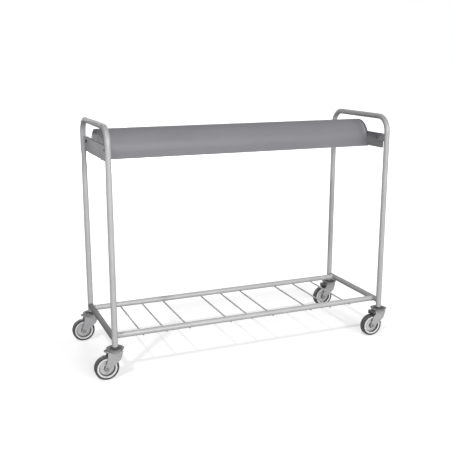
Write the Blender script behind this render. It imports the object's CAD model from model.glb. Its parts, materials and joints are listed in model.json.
"""Looks of a hospital trolley with a half-round saddle, a rod shelf and swivel castors."""

import json
import math

import bmesh
import bpy
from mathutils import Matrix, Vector


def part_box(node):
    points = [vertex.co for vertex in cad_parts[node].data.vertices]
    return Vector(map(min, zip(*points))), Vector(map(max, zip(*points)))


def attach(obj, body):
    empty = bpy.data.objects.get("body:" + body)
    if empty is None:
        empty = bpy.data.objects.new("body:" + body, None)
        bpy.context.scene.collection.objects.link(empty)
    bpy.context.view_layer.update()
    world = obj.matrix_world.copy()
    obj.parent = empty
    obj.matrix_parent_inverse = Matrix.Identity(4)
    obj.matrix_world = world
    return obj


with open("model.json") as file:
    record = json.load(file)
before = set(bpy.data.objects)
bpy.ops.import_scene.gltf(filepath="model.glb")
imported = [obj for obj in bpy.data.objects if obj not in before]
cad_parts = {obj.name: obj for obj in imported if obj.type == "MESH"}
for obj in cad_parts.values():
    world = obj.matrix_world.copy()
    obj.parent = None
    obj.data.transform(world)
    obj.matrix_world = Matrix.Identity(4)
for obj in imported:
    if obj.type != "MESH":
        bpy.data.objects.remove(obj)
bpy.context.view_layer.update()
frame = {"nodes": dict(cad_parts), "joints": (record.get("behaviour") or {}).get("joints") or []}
nodes = frame["nodes"]
scene = bpy.context.scene

# Axes of the frame: +X to the braked end, +Y to the rear
ALONG, ACROSS, UP = 0, 1, 2
X, Y, Z = Vector((1, 0, 0)), Vector((0, 1, 0)), Vector((0, 0, 1))


def ends(node, axis):
    """Lowest and highest place of a node along an axis, to a tenth of a millimetre."""
    return [round(float(corner[axis]), 4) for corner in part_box(node)]


def middle(node, axis):
    """Place of a node's middle along an axis."""
    return sum(ends(node, axis)) / 2.0


# Sizes and places in metres, from the frame
JOINT_AT = {joint["name"]: joint["pos_m"] for joint in frame["joints"]}
CORNERS = ("front_left", "front_right", "rear_left", "rear_right")
WHEELS = {corner: JOINT_AT[f"roll_{corner}"] for corner in CORNERS}
PEDAL_PIN_Z = JOINT_AT["brake_front_right"][UP]
LEG_X = (middle("left_end_frame", ALONG), middle("right_end_frame", ALONG))
LEG_Y = JOINT_AT["swivel_rear_left"][ACROSS]
MIDDLE_X = sum(LEG_X) / 2.0
TUBE_R = ends("left_end_frame", ALONG)[1] - LEG_X[0]
HANDLE_Z = ends("left_end_frame", UP)[1] - TUBE_R
RAIL_Y = middle("rear_rail", ACROSS)
RAIL_Z = middle("rear_rail", UP)
ROD_COUNT = 9
ROD_X = [middle(f"shelf_rod_{number}", ALONG) for number in range(1, ROD_COUNT + 1)]
ROD_Z = middle("shelf_rod_1", UP)
ROD_R = ends("shelf_rod_1", ALONG)[1] - ROD_X[0]
SADDLE_R = ends("saddle", ACROSS)[1]
SADDLE_AXIS_Z = ends("saddle", UP)[1] - SADDLE_R
SADDLE_END_X = ends("saddle", ALONG)[1]
BRACKET_LOW, BRACKET_HIGH = ends("leg_brackets", UP)
PLATE_LOW, PLATE_HIGH = ends("left_end_plate", UP)
CROWN_TOP = ends("fork_front_left", UP)[1]

# The brackets lie on the inner faces of the end plates
PLATE_INNER_X = ends("leg_brackets", ALONG)
PLATE_REACH = PLATE_INNER_X[1] - MIDDLE_X

# Sizes in metres that no node's box gives
BRACKET_SHEET = 0.003
RIM_IN_R = 0.0335
LIP_DROP = 0.006
LIP_TOP = CROWN_TOP - LIP_DROP

# Where a look changes, in metres: it starts at the first place and ends at the second
HANDLE_GRIP = (HANDLE_Z - 0.051, HANDLE_Z - 0.016)
HANDLE_POLISH = (HANDLE_Z + 0.0055, HANDLE_Z + 0.0115)
SADDLE_INNER_FACE = (SADDLE_R - 0.0009, SADDLE_R - 0.0005)
SADDLE_PALE_INSIDE = (SADDLE_AXIS_Z + 0.052, SADDLE_AXIS_Z + 0.064)
SADDLE_WORN_ARC = (SADDLE_AXIS_Z + 0.005, SADDLE_AXIS_Z + 0.03)
SADDLE_RUBBED_BAND = (SADDLE_END_X - 0.0279, SADDLE_END_X - 0.0179)
SADDLE_DARK_EDGE = (SADDLE_END_X - 0.0094, SADDLE_END_X - 0.0074)
PLATE_FOLD = (PLATE_HIGH - 0.0036, PLATE_HIGH - 0.0026)
BLACK_BOLT_HEADS = (PLATE_REACH - 0.0015, PLATE_REACH - 0.0005)
RIM_GREASE = (CROWN_TOP - 0.0014, CROWN_TOP - 0.0004)
LIP_GREASE = (LIP_TOP - 0.001, LIP_TOP - 0.0004)
LEFT_LIPS = (LEG_X[0] - 0.0345, LEG_X[0] - 0.0325)
RECESS_GRIME = (RIM_IN_R + 0.0002, RIM_IN_R + 0.0009)
PEDAL_TREAD = (PEDAL_PIN_Z, PEDAL_PIN_Z + 0.0045)


# Camera at the photograph's viewing angle
camera_data = bpy.data.cameras.new("camera")
camera_data.lens = 57.811
camera_data.sensor_width = 36.0
camera_data.clip_end = 100.0
camera = bpy.data.objects.new("camera", camera_data)
camera.location = (-1.231586, -2.907731, 1.271625)
camera.rotation_euler = (math.radians(76.726), 0.0, math.radians(-22.554))
scene.collection.objects.link(camera)
scene.camera = camera
scene.view_settings.view_transform = "Standard"


def grey(level, cool=1.0):
    """Linear colour of an sRGB grey level from 0 to 255, with a little more blue by cool."""

    def linear(value):
        value = max(0.0, min(1.0, value / 255.0))
        return value / 12.92 if value <= 0.04045 else ((value + 0.055) / 1.055) ** 2.4

    return (linear(level), linear(level - 0.3 * cool), linear(level + cool))


class Look:
    """The nodes of a material or of the world, under construction."""

    def __init__(self, owner, output="ShaderNodeOutputMaterial"):
        owner.use_nodes = True
        self.owner = owner
        self.tree = owner.node_tree
        self.tree.nodes.clear()
        self.output = self.node(output)
        self.place = None

    def node(self, kind, **settings):
        made = self.tree.nodes.new(kind)
        for key, value in settings.items():
            setattr(made, key, value)
        return made

    def join(self, source, target):
        self.tree.links.new(source, target)

    def feed(self, socket, value):
        """Set a socket to a number or a colour, or join it to another socket."""
        if isinstance(value, (int, float)):
            socket.default_value = value
        elif isinstance(value, tuple):
            socket.default_value = (*value, 1.0)
        else:
            self.join(value, socket)

    def show(self, shader):
        self.join(shader, self.output.inputs["Surface"])

    def surface(self, **constants):
        """The shader, with the values that are the same all over set on its own sockets."""
        self.shader = self.node("ShaderNodeBsdfPrincipled")
        for key, value in constants.items():
            self.shader.inputs[key.replace("_", " ")].default_value = value
        self.show(self.shader.outputs["BSDF"])

    def colour(self, value):
        self.join(value, self.shader.inputs["Base Color"])

    def rough(self, value):
        self.join(value, self.shader.inputs["Roughness"])

    def relief(self, height, distance, strength):
        """Bump of the shader, distance deep."""
        made = self.node("ShaderNodeBump")
        made.inputs["Distance"].default_value = distance
        made.inputs["Strength"].default_value = strength
        self.join(height, made.inputs["Height"])
        self.join(made.outputs["Normal"], self.shader.inputs["Normal"])

    def spot(self, stretch=(1.0, 1.0, 1.0)):
        """Object coordinates, stretched."""
        if self.place is None:
            self.place = self.node("ShaderNodeTexCoord")
        mapping = self.node("ShaderNodeMapping")
        mapping.inputs["Scale"].default_value = stretch
        self.join(self.place.outputs["Object"], mapping.inputs["Vector"])
        return mapping.outputs["Vector"]

    def part(self, vector, letter):
        """One of a vector's three numbers."""
        made = self.node("ShaderNodeSeparateXYZ")
        self.join(vector, made.inputs["Vector"])
        return made.outputs[letter]

    def axis(self, letter):
        """One of the object coordinates."""
        return self.part(self.spot(), letter)

    def noise(self, scale, detail, roughness, stretch=(1.0, 1.0, 1.0)):
        made = self.node("ShaderNodeTexNoise")
        made.inputs["Scale"].default_value = scale
        made.inputs["Detail"].default_value = detail
        made.inputs["Roughness"].default_value = roughness
        self.join(self.spot(stretch), made.inputs["Vector"])
        return made.outputs["Fac"]

    def cells(self, scale):
        made = self.node("ShaderNodeTexVoronoi")
        made.inputs["Scale"].default_value = scale
        self.join(self.spot(), made.inputs["Vector"])
        return made.outputs["Distance"]

    def remap(self, value, low, high, start=0.3, stop=0.7):
        """low up to start, high from stop on, and evenly between them."""
        made = self.node("ShaderNodeMapRange")
        for key, number in zip(("From Min", "From Max", "To Min", "To Max"), (start, stop, low, high)):
            made.inputs[key].default_value = number
        self.join(value, made.inputs["Value"])
        return made.outputs["Result"]

    def rise(self, value, start, stop, top=1.0):
        """0 up to start and top from stop on."""
        return self.remap(value, 0.0, top, start, stop)

    def fall(self, value, start, stop):
        """1 up to start and 0 from stop on."""
        return self.remap(value, 1.0, 0.0, start, stop)

    def math(self, kind, first, second=0.0):
        made = self.node("ShaderNodeMath", operation=kind)
        self.feed(made.inputs[0], first)
        self.feed(made.inputs[1], second)
        return made.outputs["Value"]

    def product(self, first, *others):
        for other in others:
            first = self.math("MULTIPLY", first, other)
        return first

    def length(self, first, second):
        """Length of the slope over two sides of a right angle."""
        squares = [self.math("MULTIPLY", side, side) for side in (first, second)]
        return self.math("SQRT", self.math("ADD", *squares))

    def ramp(self, value, stops, colours):
        """The first colour up to the first stop, the second from the second on."""
        made = self.node("ShaderNodeValToRGB")
        for element, stop, colour in zip(made.color_ramp.elements, stops, colours):
            element.position = stop
            element.color = (*colour, 1.0)
        self.join(value, made.inputs["Fac"])
        return made.outputs["Color"]

    def mottle(self, value, level, spread, cool=1.0, stops=(0.3, 0.7)):
        """A grey that wanders with value, by spread to each side of level."""
        return self.ramp(value, stops, (grey(level - spread, cool), grey(level + spread, cool)))

    def blend(self, share, first, second):
        """The first colour where share is 0, the second where it is 1."""
        made = self.node("ShaderNodeMix", data_type="RGBA")
        for number, value in zip((0, 6, 7), (share, first, second)):
            self.feed(made.inputs[number], value)
        return made.outputs[2]

    def shown(self):
        """1 for rays from the camera, in reflections and through glass, and 0 for all others."""
        path = self.node("ShaderNodeLightPath")
        seen = self.math("MAXIMUM", path.outputs["Is Camera Ray"], path.outputs["Is Glossy Ray"])
        return self.math("MAXIMUM", seen, path.outputs["Is Transmission Ray"])

    def from_middle(self):
        """Distance along the trolley from the middle between its ends."""
        return self.math("ABSOLUTE", self.math("SUBTRACT", self.axis("X"), MIDDLE_X))

    def wheel_radius(self, centre):
        """Distance from a wheel's axle, whose middle is at centre."""
        across = self.math("SUBTRACT", self.axis("X"), centre[ALONG])
        up = self.math("SUBTRACT", self.axis("Z"), centre[UP])
        return self.length(across, up)

    def inside_roll(self):
        """1 on the saddle's inner face and 0 on its outer one."""
        above = self.math("MAXIMUM", self.math("SUBTRACT", self.axis("Z"), SADDLE_AXIS_Z), 0.0)
        return self.fall(self.length(self.axis("Y"), above), *SADDLE_INNER_FACE)


def new_look(name):
    return Look(bpy.data.materials.new(name))


def make_tube(name, grain, level, polished=None):
    """Satin tube with drawn lines, which grain stretches along the tube, and marks.

    Where polished gives a level, the tube has a handle: darker by grip, with a top of that level.
    """
    look = new_look(name)
    look.surface(Metallic=0.12, IOR=1.3, Specular_IOR_Level=0.0)
    drawn = look.noise(scale=900.0, detail=3.0, roughness=0.6, stretch=grain)
    marks = look.noise(scale=9.0, detail=5.0, roughness=0.6)
    base = look.mottle(marks, level, 5)
    base = look.blend(look.remap(drawn, 0.0, 0.12), base, grey(level - 42))
    if polished:
        grip = look.rise(look.axis("Z"), *HANDLE_GRIP)
        worn = look.product(grip, look.remap(marks, 0.75, 1.0))
        base = look.blend(worn, base, grey(level - 24))
        top = look.rise(look.axis("Z"), *HANDLE_POLISH)
        base = look.blend(top, base, grey(polished))
    look.colour(base)
    look.rough(look.math("ADD", look.remap(marks, 0.30, 0.38), look.remap(drawn, -0.03, 0.05)))
    look.relief(drawn, distance=0.00003, strength=0.5)
    return look.owner


def start_sheet(name, level):
    """Rolled sheet with a fine grain along the trolley and faint cloudy marks.

    Gives its look, colour and roughness, the last two still to be joined.
    """
    look = new_look(name)
    look.surface(Metallic=0.10, IOR=1.3, Specular_IOR_Level=0.05)
    grain = look.noise(scale=700.0, detail=3.0, roughness=0.65, stretch=(0.04, 1.0, 1.0))
    cloud = look.noise(scale=5.0, detail=5.0, roughness=0.6)
    base = look.mottle(cloud, level, 3, cool=3)
    base = look.blend(look.remap(grain, 0.0, 0.10), base, grey(level - 26, cool=3))
    gloss = look.math("ADD", look.remap(cloud, 0.40, 0.50), look.remap(grain, -0.04, 0.06))
    look.relief(grain, distance=0.00004, strength=0.45)
    return look, base, gloss


def make_saddle_sheet(name, level):
    """Sheet that is barer on the roll's inside, with a rubbed band and a dark edge at its right end."""
    look, base, gloss = start_sheet(name, level)
    inside = look.inside_roll()
    pale = look.fall(look.axis("Z"), *SADDLE_PALE_INSIDE)
    bare = look.blend(pale, grey(level + 32, cool=2), grey(level + 86, cool=2))
    base = look.blend(inside, base, bare)
    outside = look.math("SUBTRACT", 1.0, inside)
    arc = look.product(outside, look.rise(look.axis("Z"), *SADDLE_WORN_ARC))
    rubbed = look.rise(look.axis("X"), *SADDLE_RUBBED_BAND, top=0.3)
    base = look.blend(look.product(arc, rubbed), base, grey(level + 40, cool=3))
    edge = look.rise(look.axis("X"), *SADDLE_DARK_EDGE, top=0.8)
    base = look.blend(look.product(arc, edge), base, grey(level - 62, cool=3))
    look.colour(base)
    look.rough(look.math("SUBTRACT", gloss, look.math("MULTIPLY", inside, 0.15)))
    return look.owner


def make_plate_sheet(name, level):
    """Sheet with a dark top fold."""
    look, base, gloss = start_sheet(name, level)
    fold = look.rise(look.axis("Z"), *PLATE_FOLD, top=0.9)
    look.colour(look.blend(fold, base, grey(level - 44, cool=3)))
    look.rough(gloss)
    return look.owner


def make_steel(name, level, greasy=False):
    """Zinc-plated pressed steel with a faint spangle and scuffs.

    A greasy fork is dark and dull on its crown's rim, and on the lip where it is a left-hand one.
    """
    look = new_look(name)
    look.surface(Metallic=0.15, IOR=1.4, Specular_IOR_Level=0.15)
    spangle = look.cells(240.0)
    scuff = look.noise(scale=60.0, detail=5.0, roughness=0.65)
    base = look.mottle(spangle, level, 6, stops=(0.1, 0.8))
    base = look.blend(look.remap(scuff, 0.0, 0.16, 0.45, 0.75), base, grey(level - 40))
    gloss = look.remap(scuff, 0.30, 0.44)
    if greasy:
        rim = look.rise(look.axis("Z"), *RIM_GREASE)
        behind = look.fall(look.axis("X"), *LEFT_LIPS)
        lip = look.product(behind, look.rise(look.axis("Z"), *LIP_GREASE))
        film = look.product(look.math("MAXIMUM", rim, lip), look.remap(scuff, 0.75, 1.0))
        base = look.blend(film, base, grey(level - 44))
        gloss = look.math("ADD", gloss, look.math("MULTIPLY", film, 0.45))
    look.colour(base)
    look.rough(gloss)
    look.relief(scuff, distance=0.00006, strength=0.4)
    return look.owner


def make_bolts(name):
    """Blackened bolt heads outside the end plates, plated nuts and bolt ends inside them."""
    look = new_look(name)
    look.surface(Metallic=0.15, IOR=1.4, Specular_IOR_Level=0.15)
    scuff = look.noise(scale=160.0, detail=5.0, roughness=0.65)
    plated = look.mottle(scuff, 120, 8)
    black = look.mottle(scuff, 31, 7)
    outer = look.rise(look.from_middle(), *BLACK_BOLT_HEADS)
    look.colour(look.blend(outer, plated, black))
    look.rough(look.remap(scuff, 0.34, 0.48))
    look.relief(scuff, distance=0.00005, strength=0.4)
    return look.owner


def start_moulded(name, scale, roughness, gloss):
    """Moulded plastic with a fine spark-eroded skin, which still needs its colour.

    Gives its look, and its flow marks of that scale and roughness. The surface's own roughness
    follows them from the first value of gloss to the second.
    """
    look = new_look(name)
    look.surface(Metallic=0.0, IOR=1.48)
    skin = look.noise(scale=1500.0, detail=2.0, roughness=0.6)
    flow = look.noise(scale=scale, detail=4.0, roughness=roughness)
    look.rough(look.math("ADD", look.remap(flow, *gloss), look.remap(skin, -0.03, 0.03)))
    look.relief(skin, distance=0.00004, strength=0.5)
    return look, flow


def make_plastic(name, level, gloss):
    """Plain moulded plastic."""
    look, flow = start_moulded(name, scale=40.0, roughness=0.55, gloss=gloss)
    look.colour(look.mottle(flow, level, 5))
    return look.owner


def make_pedal(name):
    """Black moulded pedal, scuffed grey on its tread."""
    look, flow = start_moulded(name, scale=120.0, roughness=0.6, gloss=(0.45, 0.6))
    tread = look.rise(look.axis("Z"), *PEDAL_TREAD)
    trodden = look.product(tread, look.remap(flow, 0.7, 1.0))
    look.colour(look.blend(trodden, look.mottle(flow, 15, 5), grey(104)))
    return look.owner


def make_hub(name, centre):
    """Moulded hub: clean on the rim ring, grimy on the wall of the recess beside the web."""
    look, flow = start_moulded(name, scale=40.0, roughness=0.55, gloss=(0.32, 0.42))
    wall = look.fall(look.wheel_radius(centre), *RECESS_GRIME)
    patches = look.noise(scale=90.0, detail=4.0, roughness=0.6)
    grime = look.product(wall, look.remap(patches, 0.8, 1.0))
    look.colour(look.blend(grime, look.mottle(flow, 236, 4), grey(96)))
    return look.owner


def make_rubber(name):
    """Dark grey tyre rubber with a fine grain and dust."""
    look = new_look(name)
    look.surface(Metallic=0.0, IOR=1.5)
    grain = look.noise(scale=1100.0, detail=3.0, roughness=0.6)
    dust = look.noise(scale=70.0, detail=5.0, roughness=0.65)
    look.colour(look.blend(look.remap(grain, 0.0, 0.2), look.mottle(dust, 58, 8), grey(84)))
    look.rough(look.remap(dust, 0.5, 0.66))
    look.relief(grain, distance=0.00008, strength=0.6)
    return look.owner


# Drawn lines along a tube: the noise is stretched along its axis
LINES_X, LINES_Y, LINES_Z = (0.03, 1.0, 1.0), (1.0, 0.03, 1.0), (1.0, 1.0, 0.03)

long_tube = make_tube("tube_along_x", LINES_X, 200)
saddle_sheet = make_saddle_sheet("rolled_sheet", 141)
plate_sheet = make_plate_sheet("plate_sheet", 172)
steel = make_steel("plated_steel", 180)
bolt_steel = make_steel("plated_bolts", 150)
nylon = make_plastic("nylon", 224, gloss=(0.40, 0.50))

# Material of each node, by the start of its name
FINISHES = {
    "left_end_frame": make_tube("left_tube_along_z", LINES_Z, 204, polished=232),
    "right_end_frame": make_tube("right_tube_along_z", LINES_Z, 195, polished=206),
    "left_end_rail": make_tube("left_tube_along_y", LINES_Y, 140),
    "right_end_rail": make_tube("tube_along_y", LINES_Y, 178),
    "front_rail": long_tube,
    "rear_rail": long_tube,
    "shelf_rod": make_tube("rod_along_y", LINES_Y, 204),
    "saddle": saddle_sheet,
    "left_end_plate": plate_sheet,
    "right_end_plate": plate_sheet,
    "leg_brackets": steel,
    "plate_bolts": make_bolts("plate_bolts"),
    "stem_expanders": nylon,
    "stem_": bolt_steel,
    "swivel_race": make_steel("race_steel", 112),
    "swivel_balls": bolt_steel,
    "fork": make_steel("fork_steel", 182, greasy=True),
    "axle": bolt_steel,
    "wheel_bush": nylon,
    "wheel_covers": make_plastic("cover_plastic", 208, gloss=(0.33, 0.43)),
    "tyre": make_rubber("tyre_rubber"),
    "brake_pedal": make_pedal("pedal_plastic"),
}
for corner, centre in WHEELS.items():
    FINISHES[f"wheel_hub_{corner}"] = make_hub(f"hub_{corner}", centre)

for name, thing in nodes.items():
    finish = next(material for start, material in FINISHES.items() if name.startswith(start))
    if not thing.material_slots:
        thing.data.materials.append(finish)
    for place in thing.material_slots:
        place.material = finish


# Weld beads along the joints of the frame: radii and lengths in metres, and steps along each bead
LEG_BEAD = 0.0017
RAIL_BEAD = 0.0016
ROD_BEAD = 0.0009
SHEET_BEAD = 0.0011
BEAD_PITCH = 0.0026
BEAD_RIPPLE = 0.14
BEAD_SIDES = 8
BEAD_SHARE_AT_SIDES = 0.4
BRACKET_EDGE = 0.001
PLATE_EDGE = 0.003
COPE_STEPS = 108
ROD_STEPS = 22
BRACKET_STEPS = 34
SKIRT_STEPS = 24
ARC_STEPS = 48
FULL_TURN = 2.0 * math.pi
FRONT_AND_REAR = (-1, 1)


def sweep(shape, points, normals, radii, closed):
    """Rippled round bead along points; normals are across the path."""
    count = len(points)
    turns = [FULL_TURN * k / BEAD_SIDES for k in range(BEAD_SIDES)]
    rings = []
    travelled = 0.0
    for i, point in enumerate(points):
        before = points[i - 1] if i or closed else point
        after = points[(i + 1) % count] if i + 1 < count or closed else point
        across = normals[i]
        beside = (after - before).normalized().cross(across).normalized()
        if i:
            travelled += (point - points[i - 1]).length
        radius = radii[i] * (1.0 + BEAD_RIPPLE * math.sin(FULL_TURN * travelled / BEAD_PITCH))
        ring = [point + radius * (math.cos(turn) * across + math.sin(turn) * beside) for turn in turns]
        rings.append([shape.verts.new(corner) for corner in ring])
    for i in range(count if closed else count - 1):
        first, second = rings[i], rings[(i + 1) % count]
        for k in range(BEAD_SIDES):
            shape.faces.new((first[k], first[k - 1], second[k - 1], second[k]))
    if not closed:
        shape.faces.new(rings[0])
        shape.faces.new(list(reversed(rings[-1])))


def cope_bead(shape, centre, along, radius):
    """Bead where a level tube that runs along one way ends on a tube of the same size."""
    side = along.cross(Z)
    points, normals, radii = [], [], []
    for i in range(COPE_STEPS):
        turn = FULL_TURN * i / COPE_STEPS
        outward = math.cos(turn) * side + math.sin(turn) * Z
        depth = abs(math.sin(turn))
        points.append(centre + TUBE_R * outward + TUBE_R * depth * along)
        normals.append(outward)
        radii.append(radius * (BEAD_SHARE_AT_SIDES + (1.0 - BEAD_SHARE_AT_SIDES) * depth))
    sweep(shape, points, normals, radii, closed=True)


def rod_bead(shape, rod_x, rail_y):
    """Bead round the rod where it lies in the notch below a long rail, on both sides of the rail."""
    entry = math.asin((RAIL_Z - TUBE_R - ROD_Z) / ROD_R)
    points, normals = [], []
    for lap in (1, -1):
        for i in range(ROD_STEPS):
            step = i if lap > 0 else ROD_STEPS - i
            turn = entry + (math.pi - 2.0 * entry) * step / ROD_STEPS
            x = ROD_R * math.cos(turn)
            z = ROD_Z + ROD_R * math.sin(turn)
            y = lap * math.sqrt(max(0.0, TUBE_R**2 - (RAIL_Z - z) ** 2))
            points.append(Vector((rod_x + x, rail_y + y, z)))
            normals.append(Vector((0.0, y, z - RAIL_Z)).normalized())
    sweep(shape, points, normals, [ROD_BEAD] * len(points), closed=True)


def bracket_bead(shape, leg_x, face_x, side):
    """Upright bead between a leg and one face of its bracket."""
    y = side * (LEG_Y - math.sqrt(TUBE_R**2 - (face_x - leg_x) ** 2))
    low, high = BRACKET_LOW + BRACKET_EDGE, BRACKET_HIGH - BRACKET_EDGE
    heights = [low + (high - low) * i / (BRACKET_STEPS - 1) for i in range(BRACKET_STEPS)]
    points = [Vector((face_x, y, z)) for z in heights]
    sweep(shape, points, [X] * len(points), [SHEET_BEAD] * len(points), closed=False)


def saddle_bead(shape, plate_x, side):
    """Bead where the saddle meets a plate: up the skirt, then round the arc to below the plate's top."""
    points = []
    for i in range(SKIRT_STEPS):
        z = PLATE_LOW + (SADDLE_AXIS_Z - PLATE_LOW) * i / SKIRT_STEPS
        points.append(Vector((plate_x, side * SADDLE_R, z)))
    top = math.asin((PLATE_HIGH - PLATE_EDGE - SADDLE_AXIS_Z) / SADDLE_R)
    for i in range(ARC_STEPS):
        turn = top * i / (ARC_STEPS - 1)
        y = side * SADDLE_R * math.cos(turn)
        points.append(Vector((plate_x, y, SADDLE_AXIS_Z + SADDLE_R * math.sin(turn))))
    sweep(shape, points, [X] * len(points), [SHEET_BEAD] * len(points), closed=False)


def finish_beads(shape, name, material):
    """Make one piece of the beads, which rides on the frame."""
    bmesh.ops.recalc_face_normals(shape, faces=shape.faces)
    mesh = bpy.data.meshes.new(name)
    shape.to_mesh(mesh)
    shape.free()
    mesh.polygons.foreach_set("use_smooth", [True] * len(mesh.polygons))
    mesh.materials.append(material)
    made = bpy.data.objects.new(name, mesh)
    scene.collection.objects.link(made)
    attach(made, "frame")


beads = bmesh.new()
for leg_x in LEG_X:
    for side in FRONT_AND_REAR:
        cope_bead(beads, Vector((leg_x, side * LEG_Y, RAIL_Z)), -side * Y, LEG_BEAD)
finish_beads(beads, "leg_welds", steel)

beads = bmesh.new()
for leg_x, inward in zip(LEG_X, (X, -X)):
    for side in FRONT_AND_REAR:
        cope_bead(beads, Vector((leg_x, side * RAIL_Y, RAIL_Z)), inward, RAIL_BEAD)
finish_beads(beads, "rail_welds", steel)

beads = bmesh.new()
for rod_x in ROD_X:
    for side in FRONT_AND_REAR:
        rod_bead(beads, rod_x, side * RAIL_Y)
finish_beads(beads, "rod_welds", steel)

beads = bmesh.new()
for leg_x, plate_x, inward in zip(LEG_X, PLATE_INNER_X, (1, -1)):
    for side in FRONT_AND_REAR:
        for face_x in (plate_x, plate_x + inward * BRACKET_SHEET):
            bracket_bead(beads, leg_x, face_x, side)
finish_beads(beads, "bracket_welds", steel)

beads = bmesh.new()
for plate_x in PLATE_INNER_X:
    for side in FRONT_AND_REAR:
        saddle_bead(beads, plate_x, side)
finish_beads(beads, "saddle_welds", saddle_sheet)


# Floor, white to the camera and in reflections, with the trolley's shadow on it
FLOOR_HALF = 60.0
FLOOR_Z = -0.0002
FLOOR_FAR = (1.5, 8.0)
FLOOR_BEHIND = (0.24, 0.40)
FLOOR_RIGHT = (0.62, 0.80)
floor_mesh = bpy.data.meshes.new("floor")
floor_corners = [(x * FLOOR_HALF, y * FLOOR_HALF, FLOOR_Z) for x, y in ((-1, -1), (1, -1), (1, 1), (-1, 1))]
floor_mesh.from_pydata(floor_corners, [], [(0, 1, 2, 3)])
floor = bpy.data.objects.new("floor", floor_mesh)
scene.collection.objects.link(floor)

floor_look = new_look("floor_white")
shown = floor_look.shown()
matt = floor_look.node("ShaderNodeBsdfDiffuse")
floor_look.join(floor_look.blend(shown, (0.38, 0.38, 0.38), (0.75, 0.75, 0.75)), matt.inputs["Color"])

# Its own light, which pales the shadow far away, behind the trolley and to its right
far = floor_look.node("ShaderNodeVectorMath", operation="LENGTH")
floor_look.join(floor_look.spot(), far.inputs[0])
lift = floor_look.remap(far.outputs["Value"], 0.52, 0.70, *FLOOR_FAR)
lift = floor_look.math("ADD", lift, floor_look.rise(floor_look.axis("Y"), *FLOOR_BEHIND, top=0.16))
lift = floor_look.math("ADD", lift, floor_look.rise(floor_look.axis("X"), *FLOOR_RIGHT, top=0.14))
glow = floor_look.node("ShaderNodeEmission")
floor_look.join(floor_look.product(shown, lift), glow.inputs["Strength"])
floor_look.feed(glow.inputs["Color"], (1.0, 1.0, 1.0))
both = floor_look.node("ShaderNodeAddShader")
floor_look.join(matt.outputs["BSDF"], both.inputs[0])
floor_look.join(glow.outputs["Emission"], both.inputs[1])
floor_look.show(both.outputs["Shader"])
floor_mesh.materials.append(floor_look.owner)

# World: white to the camera and in reflections, with a soft light that is stronger in front and behind
sky = Look(bpy.data.worlds.new("studio"), "ShaderNodeOutputWorld")
scene.world = sky.owner
white = sky.node("ShaderNodeBackground")
sky.feed(white.inputs["Color"], (1.0, 1.0, 1.0))
sideways = sky.math("ABSOLUTE", sky.part(sky.node("ShaderNodeTexCoord").outputs["Generated"], "Y"))
tint = sky.ramp(sky.math("POWER", sideways, 2.0), (0.0, 1.0), ((0.11, 0.11, 0.112), (0.31, 0.31, 0.315)))
soft = sky.node("ShaderNodeBackground")
sky.join(tint, soft.inputs["Color"])
choose = sky.node("ShaderNodeMixShader")
sky.join(sky.shown(), choose.inputs["Fac"])
sky.join(soft.outputs["Background"], choose.inputs[1])
sky.join(white.outputs["Background"], choose.inputs[2])
sky.show(choose.outputs["Shader"])


def lamp(name, kind, place, target, energy, **settings):
    """Lamp at place that points at target, unseen by the camera."""
    data = bpy.data.lights.new(name, kind)
    data.energy = energy
    for key, value in settings.items():
        setattr(data, key, value)
    made = bpy.data.objects.new(name, data)
    made.location = place
    made.rotation_euler = (Vector(target) - Vector(place)).to_track_quat("-Z", "Y").to_euler()
    made.visible_camera = False
    scene.collection.objects.link(made)


# Sun from the front left, which casts the shadows, and large soft lamps in front and behind
AIM = (0.0, 0.0, 0.6)
lamp("sun", "SUN", (-0.45, -0.51, 1.0), (0.0, 0.0, 0.0), energy=0.85, angle=math.radians(3.0))
lamp("front_softbox", "AREA", (0.2, -6.3, 2.6), AIM, energy=290.0, shape="RECTANGLE", size=5.0, size_y=2.5)
lamp("rear_softbox", "AREA", (-0.2, 7.0, 1.1), AIM, energy=260.0, shape="RECTANGLE", size=3.0, size_y=1.6)
